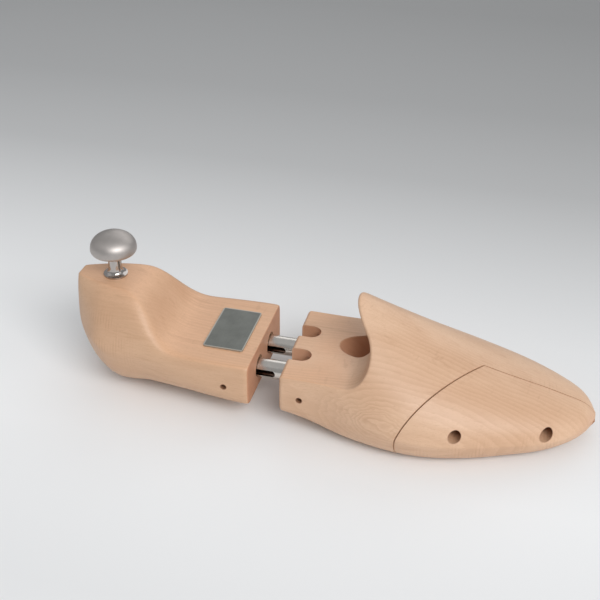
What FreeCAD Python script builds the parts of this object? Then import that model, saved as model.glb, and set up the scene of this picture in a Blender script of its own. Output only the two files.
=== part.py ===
import FreeCAD, Part
import math
import os
import Sketcher
from FreeCAD import Rotation, Vector

# A split-toe shoe tree for the right foot. X runs from heel to toe, Y towards the inner side of
# the foot, Z up. The origin is on the floor, under the middle of the tree's length.

SIZES = {
    # the two blocks
    "heel_length": (106.2, "back of the heel to the heel block's front face"),
    "heel_width": (62.0, "heel block, widest at the heel"),
    "heel_height": (61.0, "floor to the flat on top of the heel"),
    "gap": (17.0, "between the two blocks, spring at rest"),
    "toe_length": (161.5, "toe block's rear face to the tip of the toe"),
    "shank_width": (67.6, "both blocks where they face each other"),
    "shank_base": (11.2, "floor to the underside there"),
    "heel_shank_top": (35.6, "floor to the heel block's low flat"),
    "toe_shank_top": (34.5, "floor to the toe block's low flat"),
    "vamp_height": (71.5, "floor to the peak of the vamp"),
    "peak_setback": (32.6, "toe block's rear face to the peak"),
    "scoop_radius": (12.3, "hollow behind the vamp"),
    "ball_lateral": (46.8, "centre plane to the outer side of the ball"),
    "ball_medial": (46.0, "centre plane to the inner side of the ball"),
    "toe_offset": (10.0, "toe tip inwards of the centre plane"),
    "edge_round": (1.2, "rounding of the toe block's upper edges"),
    "face_round": (2.0, "rounding around the two facing ends"),
    # tubes, their springs and cross pins
    "tube_diameter": (10.5, "outside"),
    "tube_wall": (0.8, ""),
    "tube_spacing": (22.6, "between the two axes"),
    "tube_height": (22.2, "floor to the tube axes"),
    "tube_tail": (40.0, "length of tube inside the heel block"),
    "tube_nose": (6.0, "tube ahead of the toe cross pin"),
    "bore_slack": (0.95, "radial room of a tube in its heel bore"),
    "bore_below": (0.2, "the part of that room under the tube"),
    "bore_depth": (76.0, "heel bores from the front face"),
    "swing_slack": (0.2, "radial room of a tube in the toe block"),
    "notch_length": (12.0, "swing notches from the rear face"),
    "slot_width": (3.8, "slot through each tube"),
    "slot_end": (10.3, "slot's front end ahead of the heel block's face"),
    "pin_diameter": (3.0, "both cross pins"),
    "pin_slack": (0.05, "radial running room on a cross pin"),
    "pin_length": (50.0, "both cross pins"),
    "heel_pin_back": (13.2, "heel cross pin behind the heel block's face"),
    "toe_pin_ahead": (11.1, "toe cross pin ahead of the toe block's rear face"),
    "spring_shy": (0.9, "heel springs slimmer than the tubes they push on"),
    "spring_wire": (1.2, "heel springs"),
    # finger hole
    "finger_diameter": (21.5, ""),
    "finger_depth": (17.0, "along its axis from the low flat"),
    "finger_slope": (45.0, "degrees below the horizontal"),
    "finger_ahead": (39.2, "axis at the low flat, ahead of the rear face"),
    "finger_offset": (4.2, "axis inwards of the centre plane"),
    # knob and plate
    "knob_diameter": (25.3, "rim of the knob"),
    "knob_cap": (13.0, "height of the knob's cap"),
    "knob_height": (25.6, "heel flat to the top of the knob"),
    "knob_ahead": (21.2, "knob axis ahead of the heel block's back end"),
    "neck_diameter": (7.4, ""),
    "foot_diameter": (13.2, "flared foot of the neck"),
    "stud_diameter": (5.0, ""),
    "stud_length": (36.0, ""),
    "knob_grip": (12.0, "length of the stud inside the knob"),
    "plate_length": (22.2, "along the tree"),
    "plate_width": (38.2, "across the tree"),
    "plate_thickness": (0.9, ""),
    "plate_corner": (1.5, ""),
    "plate_back": (6.9, "plate edge behind the heel block's face"),
    # split toe
    "apex_ahead": (101.5, "rear face to the apex of the split"),
    "apex_offset": (0.6, "apex across from the centre plane"),
    "apex_height": (38.9, "floor to the apex"),
    "toe_split_angle": (9.5, "long cut, degrees from the length"),
    "side_split_angle": (53.8, "oblique cut, degrees from the length"),
    "side_split_lean": (14.5, "oblique cut, degrees back from upright along the long cut"),
    "seam": (0.7, "saw cut between cheek and block"),
    "guide_diameter": (6.0, "guide pins"),
    "guide_slack": (0.15, "radial room on a guide pin in the cheek"),
    "guide_length": (30.0, ""),
    "guide_root": (15.0, "guide pin inside the toe block, from the saw cut"),
    "rear_guide_ahead": (92.2, "rear face to the rear guide pin"),
    "rear_guide_height": (19.5, ""),
    "front_guide_ahead": (136.7, "rear face to the front guide pin"),
    "front_guide_height": (15.0, ""),
    "spread_spring_diameter": (9.6, "outside"),
    "spread_spring_wire": (1.0, ""),
    "spread_spring_length": (14.0, "spread springs, cheek closed"),
    "spring_seat": (6.0, "the part of that length inside the toe block"),
    "spring_slack": (0.3, "radial room around a spread spring"),
    "screw_ahead": (114.3, "rear face to the spread screw"),
    "screw_height": (18.5, ""),
    "screw_diameter": (4.0, "thread of the spread screw"),
    "screw_head": (7.6, "diameter of its head"),
    "screw_head_height": (3.0, ""),
    "screw_hole": (8.4, "access hole for the head and driver"),
    "screw_shoulder": (12.0, "centre plane to the shoulder under the head"),
    "screw_length": (26.0, "under the head"),
    "screw_slack": (0.3, "radial room of the screw in the wood"),
    "thread_slack": (0.05, "radial room between the threads"),
    "driver_slot": (1.2, "width and depth of the screw's slot"),
    "insert_diameter": (8.0, "threaded insert in the cheek"),
    "insert_length": (8.0, ""),
    "insert_sunk": (2.0, "insert's end below the saw cut"),
}

doc = FreeCAD.newDocument("shoe_tree")
sheet = doc.addObject("Spreadsheet::Sheet", "sizes")
for row, (alias, (value, note)) in enumerate(SIZES.items(), start=1):
    sheet.set("A%d" % row, alias)
    sheet.set("B%d" % row, str(value))
    sheet.setAlias("B%d" % row, alias)
    sheet.set("C%d" % row, note)
doc.recompute()
size = {alias: float(sheet.get(alias)) for alias in SIZES}

# Places along X shared by many pieces, as expressions on the sheet and as numbers.
HEEL_FACE = "(sizes.heel_length - sizes.gap - sizes.toe_length) / 2"
TOE_FACE = "(sizes.heel_length + sizes.gap - sizes.toe_length) / 2"
heel_face = (size["heel_length"] - size["gap"] - size["toe_length"]) / 2
toe_face = (size["heel_length"] + size["gap"] - size["toe_length"]) / 2
pieces = []


def piece(shape_object, label):
    """Marks an object as a separate piece of the tree, named as its file will be."""
    shape_object.Label = label
    pieces.append(shape_object)
    return shape_object


TURN = {
    "x": Rotation(Vector(0, 1, 0), 90),
    "y": Rotation(Vector(1, 0, 0), -90),
    "z": Rotation(),
}


def place(thing, at, axis="z"):
    thing.Placement.Rotation = TURN[axis]
    for letter, expression in zip("xyz", at):
        thing.setExpression("Placement.Base." + letter, expression)


def cylinder(name, radius, length, at, axis):
    """A cylinder from the point at, growing along +axis; every size is an expression."""
    thing = doc.addObject("Part::Cylinder", name)
    thing.setExpression("Radius", radius)
    thing.setExpression("Height", length)
    place(thing, at, axis)
    return thing


def box(name, length, width, height, at):
    thing = doc.addObject("Part::Box", name)
    thing.setExpression("Length", length)
    thing.setExpression("Width", width)
    thing.setExpression("Height", height)
    place(thing, at)
    return thing


def cut(name, base, tools):
    joined = tools[0]
    if len(tools) > 1:
        joined = doc.addObject("Part::MultiFuse", name + "_cutters")
        joined.Shapes = tools
    result = doc.addObject("Part::Cut", name)
    result.Base = base
    result.Tool = joined
    return result


def own_shape(name, shape):
    thing = doc.addObject("Part::Feature", name)
    thing.Shape = shape
    return thing


# ---- carved wood: a smooth skin over rings of control points ----

def skin(rings):
    """A closed solid whose side is one cubic surface around and along the rings, flat at both ends."""
    around = len(rings[0])
    along = len(rings)
    poles = [[ring[index] for ring in rings] for index in range(around)]
    surface = Part.BSplineSurface()
    surface.buildFromPolesMultsKnots(
        poles,
        [1] * (around + 1), [4] + [1] * (along - 4) + [4],
        [float(knot) for knot in range(around + 1)], [float(knot) for knot in range(along - 2)],
        True, False, 3, 3)
    side = surface.toShape()
    ends = [edge for edge in side.Edges if edge.isClosed() and not edge.isSeam(side)]
    caps = [Part.Face(Part.Wire([edge])).copy() for edge in ends]
    solid = Part.Solid(Part.Shell([side] + caps))
    if solid.Volume < 0:
        solid.reverse()
    return solid


def planed(solid):
    """The wood with its underside planed flat at the floor, where the skin dips below it."""
    far = 400.0
    return solid.cut(Part.makeBox(far, far, far, Vector(-far / 2, -far / 2, -far)))


def mix(low, high, share):
    return low + (high - low) * share


def side_points(x, centre, reach, top, crown, shoulder, base, corner, sign):
    """Half a section of the heel block, from beside the top's middle to beside the bottom's."""
    turn = mix(0.55, 0.25, min(1.0, max(0.0, (top - shoulder) / 25.0)))
    flank_y = mix((crown + reach) / 2, reach, turn)
    flank_z = mix((top + shoulder) / 2, top, turn)
    flat = reach - corner
    points = [
        (0.5 * crown, top), (0.88 * crown, top), (crown, top),
        (flank_y, flank_z), (reach, shoulder), (reach, base + corner),
        (reach - 0.22 * corner, base + 0.22 * corner), (flat, base), (0.5 * flat, base),
    ]
    return [Vector(x, centre + sign * y, z) for y, z in points]


def ring(x, centre, right, left, top, base):
    """Closes two half sections with the middle of the top and of the bottom."""
    return ([Vector(x, centre, top)] + right + [Vector(x, centre, base)] + left[::-1])


def heel_ring(x, reach, top, crown, base, corner):
    """One section of the heel block: flat crown, leaning flanks, upright sides, round underside."""
    lowest = mix(base, top, 0.45)
    highest = mix(base, top, 0.85)
    shoulder = min(highest, max(lowest, size["heel_shank_top"] - 3.0))
    args = (x, 0.0, reach, top, crown, shoulder, base, corner)
    return ring(x, 0.0, side_points(*args, 1), side_points(*args, -1), top, base)


# Stations of the heel block: distance behind the front face, half width, height of the top,
# half width of the crown, height of the underside and corner radius below, each as a share of
# the size named in heel_rings. The plate's back edge lies at PLATE_SHARE of the length here.
PLATE_SHARE = 291 / 1062
HEEL_STATIONS = [
    (0.000, 0.93, 0.00, 0.85, 1.03, 0.08),
    (0.000, 0.99, 0.00, 0.905, 1.00, 0.12),
    (0.028, 1.00, 0.00, 0.92, 0.97, 0.14),
    (0.125, 1.00, 0.00, 0.915, 0.86, 0.25),
    (0.225, 0.99, 0.00, 0.905, 0.74, 0.36),
    (0.315, 0.98, 0.00, 0.88, 0.63, 0.48),
    (0.395, 0.97, 0.01, 0.84, 0.53, 0.56),
    (0.460, 0.96, 0.11, 0.77, 0.45, 0.63),
    (0.520, 0.95, 0.38, 0.68, 0.37, 0.69),
    (0.580, 0.93, 0.72, 0.58, 0.29, 0.74),
    (0.650, 0.92, 0.98, 0.48, 0.04, 0.80),
    (0.750, 0.90, 1.00, 0.41, -0.10, 0.84),
    (0.830, 0.86, 1.00, 0.36, 0.50, 0.83),
]


def heel_station(share):
    """Distance behind the front face: the low flat reaches past the plate on any heel length."""
    flat_run = size["plate_back"] + size["plate_length"]
    if share < PLATE_SHARE:
        return share / PLATE_SHARE * flat_run
    return mix(flat_run, size["heel_length"], (share - PLATE_SHARE) / (1.0 - PLATE_SHARE))


def heel_rings():
    half = size["shank_width"] / 2
    rise = size["heel_height"] - size["heel_shank_top"]
    rings = []
    for behind, reach, top, crown, base, corner in HEEL_STATIONS:
        rings.append(heel_ring(
            heel_face - heel_station(behind), reach * half,
            size["heel_shank_top"] + top * rise, crown * half,
            base * size["shank_base"], corner * half))
    # the back of the heel: narrower and shallower rings that close on a round end
    half = size["heel_width"] / 2
    tall = size["heel_height"]
    back = heel_face - size["heel_length"]
    rings.append(heel_ring(back + 11.0, 0.72 * half, tall, 0.30 * half, 0.21 * tall, 0.66 * half))
    rings.append(heel_ring(back + 2.5, 0.40 * half, tall, 0.19 * half, 0.41 * tall, 0.34 * half))
    rings.append(heel_ring(back, 0.18 * half, tall, 0.12 * half, 0.54 * tall, 0.12 * half))
    rings.append(heel_ring(back, 0.10 * half, 0.93 * tall, 0.06 * half, 0.64 * tall, 0.06 * half))
    rings.append(heel_ring(back, 0.03 * half, 0.82 * tall, 0.012 * half, 0.78 * tall, 0.012 * half))
    return rings


def vamp_points(x, ridge, reach, top, shoulder, base, corner, power, sign):
    """Half a section of the toe block: an arch down to the shoulder, then a rounded lower corner."""
    points = []
    for share in (0.2, 0.47, 0.76, 0.95):
        fall = (1.0 - share ** power) ** (1.0 / power)
        points.append((mix(ridge, reach, share), mix(shoulder, top, fall)))
    flat = reach - corner
    points += [
        (reach, shoulder), (reach, base + corner),
        (reach - 0.22 * corner, base + 0.22 * corner), (flat, base), (0.5 * flat, base),
    ]
    return [Vector(x, sign * y, z) for y, z in points]


def toe_ring(x, ridge, lateral, medial, top, base, corner, power):
    shoulder = max(base + corner, mix(base, top, 0.3))
    shoulder = min(shoulder, mix(base, top, 0.5))
    corner = min(corner, shoulder - base)
    centre = (medial - lateral) / 2
    inner = vamp_points(x, ridge, medial, top, shoulder, base, corner, power, 1)
    outer = vamp_points(x, -ridge, lateral, top, shoulder, base, corner, power, -1)
    points = [Vector(x, ridge, top)] + inner + [Vector(x, centre, base)] + outer[::-1]
    # the surface closes on itself along its inner side, well away from the saw cuts
    return points[3:] + points[:3]


# Stations of the toe block: distance ahead of the rear face (share of its length), outer and
# inner half width (share of the ball's), ridge height (share of the vamp height), underside
# (share of the shank base), ridge offset (share of the toe offset), corner radius in mm and the
# power of the arch.
TOE_STATIONS = [
    (-0.06, 0.728, 0.712, 1.13, 1.05, 0.40, 5.0, 1.60),
    (-0.03, 0.728, 0.712, 1.12, 1.03, 0.40, 5.0, 1.60),
    (0.025, 0.728, 0.712, 1.095, 0.94, 0.40, 5.5, 1.60),
    (0.110, 0.740, 0.716, 1.035, 0.62, 0.42, 6.5, 1.60),
    (0.200, 0.815, 0.740, 0.970, 0.30, 0.45, 7.5, 1.62),
    (0.290, 0.925, 0.790, 0.882, 0.12, 0.50, 13.0, 1.68),
    (0.380, 0.980, 0.885, 0.790, -0.04, 0.55, 16.0, 1.76),
    (0.470, 0.970, 0.970, 0.686, -0.09, 0.60, 16.0, 1.84),
    (0.560, 0.895, 1.000, 0.597, -0.09, 0.67, 15.0, 1.92),
    (0.650, 0.785, 0.985, 0.514, -0.06, 0.75, 13.5, 2.00),
    (0.740, 0.655, 0.930, 0.437, 0.05, 0.83, 12.0, 2.08),
    (0.825, 0.520, 0.845, 0.373, 0.15, 0.92, 9.0, 2.15),
    (0.905, 0.345, 0.715, 0.299, 0.32, 1.00, 7.0, 2.2),
]


def toe_blank():
    outer = size["ball_lateral"]
    inner = size["ball_medial"]
    tall = size["vamp_height"]
    offset = size["toe_offset"]
    rings = []
    for ahead, lateral, medial, top, base, ridge, corner, power in TOE_STATIONS:
        rings.append(toe_ring(
            toe_face + ahead * size["toe_length"], ridge * offset,
            lateral * outer, medial * inner, top * tall, base * size["shank_base"], corner, power))
    tip = toe_face + size["toe_length"]
    rings.append(toe_ring(tip - 4.0, offset, 0.09 * outer, 0.53 * inner, 0.24 * tall, 5.4, 5.0, 2.2))
    rings.append(toe_ring(tip - 1.0, offset, 5.0 - offset, offset + 5.5, 0.165 * tall, 7.5, 2.0, 2.2))
    rings.append(toe_ring(tip, offset, 2.0 - offset, offset + 2.0, 11.0, 9.0, 0.2, 2.2))
    return planed(skin(rings))


def scoop(overlap=40.0):
    """The wood taken off above the low flat and behind the vamp: a flat, a round hollow, a hook."""
    flat = size["toe_shank_top"]
    peak_x = toe_face + size["peak_setback"]
    radius = size["scoop_radius"]
    centre = Vector(peak_x + 0.4, 0, flat + radius)
    lift = math.radians(42.0)
    bottom = centre - Vector(0, 0, radius)
    deepest = centre + Vector(radius, 0, 0)
    upper = centre + Vector(radius * math.cos(lift), 0, radius * math.sin(lift))
    lip = Vector(peak_x, 0, size["vamp_height"] - 2.0)
    above = Vector(peak_x, 0, size["vamp_height"] + overlap)
    behind = Vector(toe_face - overlap, 0, flat)
    hook = Part.BSplineCurve()
    tangent = Vector(-math.sin(lift), 0, math.cos(lift))
    middle = Vector(peak_x + 2.6, 0, mix(upper.z, lip.z, 0.55))
    hook.interpolate([upper, middle, lip], InitialTangent=tangent, FinalTangent=Vector(0, 0, 1))
    outline = Part.Wire([
        Part.makeLine(behind, bottom),
        Part.Arc(bottom, centre + Vector(radius / 2 ** 0.5, 0, -radius / 2 ** 0.5), deepest).toShape(),
        Part.Arc(deepest, centre + Vector(radius * math.cos(lift / 2), 0, radius * math.sin(lift / 2)),
                 upper).toShape(),
        hook.toShape(), Part.makeLine(lip, above),
        Part.makeLine(above, Vector(behind.x, 0, above.z)),
        Part.makeLine(Vector(behind.x, 0, above.z), behind),
    ])
    wide = size["shank_width"]
    solid = Part.Face(outline).extrude(Vector(0, 2 * wide, 0))
    solid.translate(Vector(0, -wide, 0))
    return solid


def soften(solid, face_x, radius):
    """Rounds the edges all round the flat end at face_x."""
    edges = [edge for edge in solid.Edges
             if abs(edge.BoundBox.XMin - face_x) < 0.01 and abs(edge.BoundBox.XMax - face_x) < 0.01]
    return solid.makeFillet(radius, edges)


def all_behind(face_x):
    """Everything behind a flat end, to trim a skin there."""
    far = 400.0
    return Part.makeBox(far, far, far, Vector(face_x - far, -far / 2, -far / 2))


def toe_wood():
    """The whole front of the tree, before the cheek is sawn off."""
    solid = toe_blank().cut(scoop()).cut(all_behind(toe_face))
    flat = size["toe_shank_top"]
    rim = [edge for edge in solid.Edges
           if edge.BoundBox.ZMin > flat - 0.5 and edge.BoundBox.XLength > 0.5
           and edge.BoundBox.XMax < toe_face + 0.4 * size["toe_length"]
           and not isinstance(edge.Curve, Part.Line)]
    solid = solid.makeFillet(size["edge_round"], rim)
    return soften(solid, toe_face, size["face_round"])


def cheek_prism(shrink):
    """The upright wedge on the outer side that holds the cheek; shrink insets its two sawn sides."""
    along = math.radians(size["toe_split_angle"])
    oblique = math.radians(size["side_split_angle"])
    toeward = Vector(math.cos(along), math.sin(along), 0)
    sideward = Vector(-math.cos(oblique), -math.sin(oblique), 0)
    long_normal = Vector(math.sin(along), -math.cos(along), 0)
    oblique_normal = Vector(math.sin(oblique), -math.cos(oblique), 0)
    # the inset apex lies at the same distance from both cuts
    shift = (long_normal + oblique_normal) * (shrink / (1.0 + long_normal.dot(oblique_normal)))
    # the long cut is upright; the oblique one leans back towards its foot
    lean = toeward * math.tan(math.radians(size["side_split_lean"])) + Vector(0, 0, 1)
    tall = 300.0
    apex = Vector(toe_face + size["apex_ahead"], size["apex_offset"], size["apex_height"]) + shift
    apex = apex - lean * (tall / 2)
    far = 2.0 * size["toe_length"]
    corner = apex + sideward * far
    points = [apex, apex + toeward * far, Vector(apex.x + far, corner.y, apex.z), corner, apex]
    return Part.Face(Part.makePolygon(points)).extrude(lean * tall)


# ---- heel block and what is fixed to it ----

SIDES = {"lateral": "-", "medial": ""}
TUBE_Y = "%ssizes.tube_spacing / 2"
HEEL_BORE_Z = "sizes.tube_height + sizes.bore_slack - sizes.bore_below"
HEEL_PIN_X = HEEL_FACE + " - sizes.heel_pin_back"
TOE_PIN_X = TOE_FACE + " + sizes.toe_pin_ahead"
KNOB_X = HEEL_FACE + " - sizes.heel_length + sizes.knob_ahead"
STUD_FOOT = "sizes.heel_height + sizes.knob_grip - sizes.stud_length"
OVERRUN = "10"


def heel_block():
    bores = [
        cylinder("heel_bore_" + side, "sizes.tube_diameter / 2 + sizes.bore_slack",
                 "sizes.bore_depth + " + OVERRUN,
                 (HEEL_FACE + " - sizes.bore_depth", TUBE_Y % sign, HEEL_BORE_Z), "x")
        for side, sign in SIDES.items()]
    pin_hole = cylinder("heel_pin_hole", "sizes.pin_diameter / 2", "2 * sizes.shank_width",
                        (HEEL_PIN_X, "-sizes.shank_width", "sizes.tube_height"), "y")
    stud_hole = cylinder("heel_stud_hole", "sizes.stud_diameter / 2", "sizes.stud_length",
                         (KNOB_X, "0", STUD_FOOT), "z")
    wood = own_shape("heel_form", planed(skin(heel_rings())))
    piece(cut("heel_block_cut", wood, bores + [pin_hole, stud_hole]), "heel_block")


def knob_outline():
    """The turned profile of the knob from its axis: flared foot, waist, rolled rim, low dome."""
    foot = size["foot_diameter"] / 2
    neck = size["neck_diameter"] / 2
    rim = size["knob_diameter"] / 2
    top = size["knob_height"]
    rim_z = top - size["knob_cap"] + size["knob_cap"] * 0.30
    under_z = top - size["knob_cap"]
    foot_edge = Vector(foot, 0, 0.9)
    waist = Vector(neck, 0, mix(0.9, under_z, 0.5))
    under = Vector(neck + 1.4, 0, under_z)
    edge = Vector(rim, 0, rim_z)
    crown = Vector(0, 0, top)
    flare = Part.BSplineCurve()
    flare.interpolate([foot_edge, waist, under], InitialTangent=Vector(-1, 0, 0.15),
                      FinalTangent=Vector(1, 0, 0.6))
    bowl = Part.BSplineCurve()
    bowl.interpolate([under, Vector(0.72 * rim, 0, mix(under_z, rim_z, 0.24)), edge],
                     InitialTangent=Vector(1, 0, 0.1), FinalTangent=Vector(0, 0, 1))
    dome = Part.BSplineCurve()
    dome.interpolate([edge, Vector(0.74 * rim, 0, mix(rim_z, top, 0.72)), crown],
                     InitialTangent=Vector(0, 0, 1), FinalTangent=Vector(-1, 0, 0))
    base = Vector(0, 0, 0)
    heel = Vector(foot, 0, 0)
    return Part.Wire([
        Part.makeLine(base, heel), Part.makeLine(heel, foot_edge), flare.toShape(),
        bowl.toShape(), dome.toShape(), Part.makeLine(crown, base)])


def heel_knob():
    profile = own_shape("knob_profile", Part.Face(knob_outline()))
    turned = doc.addObject("Part::Revolution", "knob_turned")
    turned.Source = profile
    turned.Axis = Vector(0, 0, 1)
    turned.Angle = 360
    turned.Solid = True
    place(turned, (KNOB_X, "0", "sizes.heel_height"))
    grip = cylinder("knob_stud_hole", "sizes.stud_diameter / 2", "sizes.knob_grip + 1",
                    (KNOB_X, "0", "sizes.heel_height - 1"), "z")
    piece(cut("heel_knob_cut", turned, [grip]), "heel_knob")
    stud = cylinder("stud", "sizes.stud_diameter / 2", "sizes.stud_length",
                    (KNOB_X, "0", STUD_FOOT), "z")
    piece(stud, "knob_stud")


def origin_plane(body, role):
    return [plane for plane in body.Origin.OriginFeatures if plane.Role == role][0]


def sketch_on(body, name, role):
    sketch = body.newObject("Sketcher::SketchObject", name)
    sketch.AttachmentSupport = [(origin_plane(body, role), "")]
    sketch.MapMode = "FlatFace"
    return sketch


def rectangle(sketch, length, width):
    """A rectangle centred on the sketch's origin, with both sizes driven from the sheet."""
    half_l = size[length] / 2
    half_w = size[width] / 2
    corners = [Vector(-half_l, -half_w), Vector(half_l, -half_w),
               Vector(half_l, half_w), Vector(-half_l, half_w)]
    for index in range(4):
        sketch.addGeometry(Part.LineSegment(corners[index], corners[(index + 1) % 4]), False)
    for index in range(4):
        sketch.addConstraint(Sketcher.Constraint("Coincident", index, 2, (index + 1) % 4, 1))
    for index, direction in enumerate(("Horizontal", "Vertical", "Horizontal", "Vertical")):
        sketch.addConstraint(Sketcher.Constraint(direction, index))
    sketch.addConstraint(Sketcher.Constraint("Symmetric", 0, 1, 1, 2, -1, 1))
    across = sketch.addConstraint(Sketcher.Constraint("DistanceX", 0, 1, 0, 2, size[length]))
    along = sketch.addConstraint(Sketcher.Constraint("DistanceY", 1, 1, 1, 2, size[width]))
    sketch.setExpression("Constraints[%d]" % across, "sizes." + length)
    sketch.setExpression("Constraints[%d]" % along, "sizes." + width)


def name_plate():
    body = doc.addObject("PartDesign::Body", "plate_body")
    sketch = sketch_on(body, "plate_outline", "XY_Plane")
    rectangle(sketch, "plate_length", "plate_width")
    pad = body.newObject("PartDesign::Pad", "plate_pad")
    pad.Profile = sketch
    pad.setExpression("Length", "sizes.plate_thickness")
    doc.recompute()
    upright = [index for index, edge in enumerate(pad.Shape.Edges, start=1)
               if edge.BoundBox.ZLength > 0.5 * size["plate_thickness"]]
    corners = body.newObject("PartDesign::Fillet", "plate_corners")
    corners.Base = (pad, ["Edge%d" % index for index in upright])
    corners.setExpression("Radius", "sizes.plate_corner")
    place(body, (HEEL_FACE + " - sizes.plate_back - sizes.plate_length / 2", "0",
                 "sizes.heel_shank_top"))
    piece(body, "name_plate")


def cross_pin(name, x):
    pin = cylinder(name + "_rod", "sizes.pin_diameter / 2", "sizes.pin_length",
                   (x, "-sizes.pin_length / 2", "sizes.tube_height"), "y")
    piece(pin, name)


def sleeve(name, outside, wire, length, at, axis):
    """A close-wound spring, drawn as the tube that its turns fill."""
    outer = cylinder(name + "_outer", outside + " / 2", length, at, axis)
    inner = cylinder(name + "_inner", "%s / 2 - %s" % (outside, wire), length, at, axis)
    piece(cut(name + "_sleeve", outer, [inner]), name)


# ---- the two slotted tubes that join the blocks ----

TUBE_START = HEEL_FACE + " - sizes.tube_tail"
TUBE_LENGTH = "sizes.tube_tail + sizes.gap + sizes.toe_pin_ahead + sizes.tube_nose"


def tube(side, sign):
    """A steel tube with a long slot for the heel's cross pin and a round hole for the toe's."""
    body = doc.addObject("PartDesign::Body", "tube_body_" + side)
    section = sketch_on(body, "tube_section_" + side, "YZ_Plane")
    for radius, drive in ((size["tube_diameter"] / 2, "sizes.tube_diameter / 2"),
                          (size["tube_diameter"] / 2 - size["tube_wall"],
                           "sizes.tube_diameter / 2 - sizes.tube_wall")):
        circle = section.addGeometry(Part.Circle(Vector(), Vector(0, 0, 1), radius), False)
        section.addConstraint(Sketcher.Constraint("Coincident", circle, 3, -1, 1))
        held = section.addConstraint(Sketcher.Constraint("Radius", circle, radius))
        section.setExpression("Constraints[%d]" % held, drive)
    pad = body.newObject("PartDesign::Pad", "tube_pad_" + side)
    pad.Profile = section
    pad.setExpression("Length", TUBE_LENGTH)
    body.Tip = pad
    # the slot runs from the heel's cross pin to slot_end ahead of the heel block
    slot = sketch_on(body, "tube_slot_" + side, "XZ_Plane")
    radius = size["slot_width"] / 2
    first = size["tube_tail"] - size["heel_pin_back"] - (size["pin_diameter"] - size["slot_width"]) / 2
    last = size["tube_tail"] + size["slot_end"] - radius
    hinge_x = size["tube_tail"] + size["gap"] + size["toe_pin_ahead"]
    quarter = math.pi / 2
    upward = Vector(0, 0, 1)
    upper = slot.addGeometry(Part.LineSegment(Vector(first, radius), Vector(last, radius)), False)
    front = slot.addGeometry(Part.ArcOfCircle(
        Part.Circle(Vector(last, 0), upward, radius), -quarter, quarter), False)
    lower = slot.addGeometry(Part.LineSegment(Vector(last, -radius), Vector(first, -radius)), False)
    rear = slot.addGeometry(Part.ArcOfCircle(
        Part.Circle(Vector(first, 0), upward, radius), quarter, 3 * quarter), False)
    hinge = slot.addGeometry(Part.Circle(
        Vector(hinge_x, 0), upward, size["pin_diameter"] / 2 + size["pin_slack"]), False)
    for one, its_end, other, other_end in ((upper, 2, front, 2), (front, 1, lower, 1),
                                           (lower, 2, rear, 2), (rear, 1, upper, 1)):
        slot.addConstraint(Sketcher.Constraint("Tangent", one, its_end, other, other_end))
    for round_part, x, drive in (
            (front, last, "sizes.tube_tail + sizes.slot_end - sizes.slot_width / 2"),
            (rear, first, "sizes.tube_tail - sizes.heel_pin_back"
             " - (sizes.pin_diameter - sizes.slot_width) / 2"),
            (hinge, hinge_x, "sizes.tube_tail + sizes.gap + sizes.toe_pin_ahead")):
        slot.addConstraint(Sketcher.Constraint("PointOnObject", round_part, 3, -1))
        held = slot.addConstraint(Sketcher.Constraint("DistanceX", -1, 1, round_part, 3, x))
        slot.setExpression("Constraints[%d]" % held, drive)
    for round_part, reach, drive in (
            (front, radius, "sizes.slot_width / 2"),
            (hinge, size["pin_diameter"] / 2 + size["pin_slack"],
             "sizes.pin_diameter / 2 + sizes.pin_slack")):
        held = slot.addConstraint(Sketcher.Constraint("Radius", round_part, reach))
        slot.setExpression("Constraints[%d]" % held, drive)
    pocket = body.newObject("PartDesign::Pocket", "tube_pocket_" + side)
    pocket.Profile = slot
    pocket.Type = "ThroughAll"
    pocket.Midplane = True
    place(body, (TUBE_START, TUBE_Y % sign, "sizes.tube_height"))
    piece(body, "tube_" + side)
    return pad, pocket


# ---- toe block, cheek and the spreading mechanism between them ----

REAR_GUIDE_X = TOE_FACE + " + sizes.rear_guide_ahead"
FRONT_GUIDE_X = TOE_FACE + " + sizes.front_guide_ahead"
SCREW_X = TOE_FACE + " + sizes.screw_ahead"
# where each guide pin and the screw cross the toe block's side of the saw cut
BACK = "(sizes.apex_height - sizes.rear_guide_height) * tan(sizes.side_split_lean)"
REAR_SEAM_Y = ("sizes.apex_offset - %s * sin(sizes.toe_split_angle)"
               " - (sizes.apex_ahead - %s * cos(sizes.toe_split_angle) - sizes.rear_guide_ahead)"
               " * tan(sizes.side_split_angle)" % (BACK, BACK))
FRONT_SEAM_Y = ("sizes.apex_offset + (sizes.front_guide_ahead - sizes.apex_ahead)"
                " * tan(sizes.toe_split_angle)")
SCREW_SEAM_Y = ("sizes.apex_offset + (sizes.screw_ahead - sizes.apex_ahead)"
                " * tan(sizes.toe_split_angle)")
INSERT_Y = SCREW_SEAM_Y + " - sizes.insert_sunk - sizes.insert_length"
SCREW_TIP_Y = "sizes.screw_shoulder - sizes.screw_length"
GUIDES = {
    "rear": (REAR_GUIDE_X, REAR_SEAM_Y, "sizes.rear_guide_height"),
    "front": (FRONT_GUIDE_X, FRONT_SEAM_Y, "sizes.front_guide_height"),
}
FAR = "sizes.shank_width"


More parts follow.
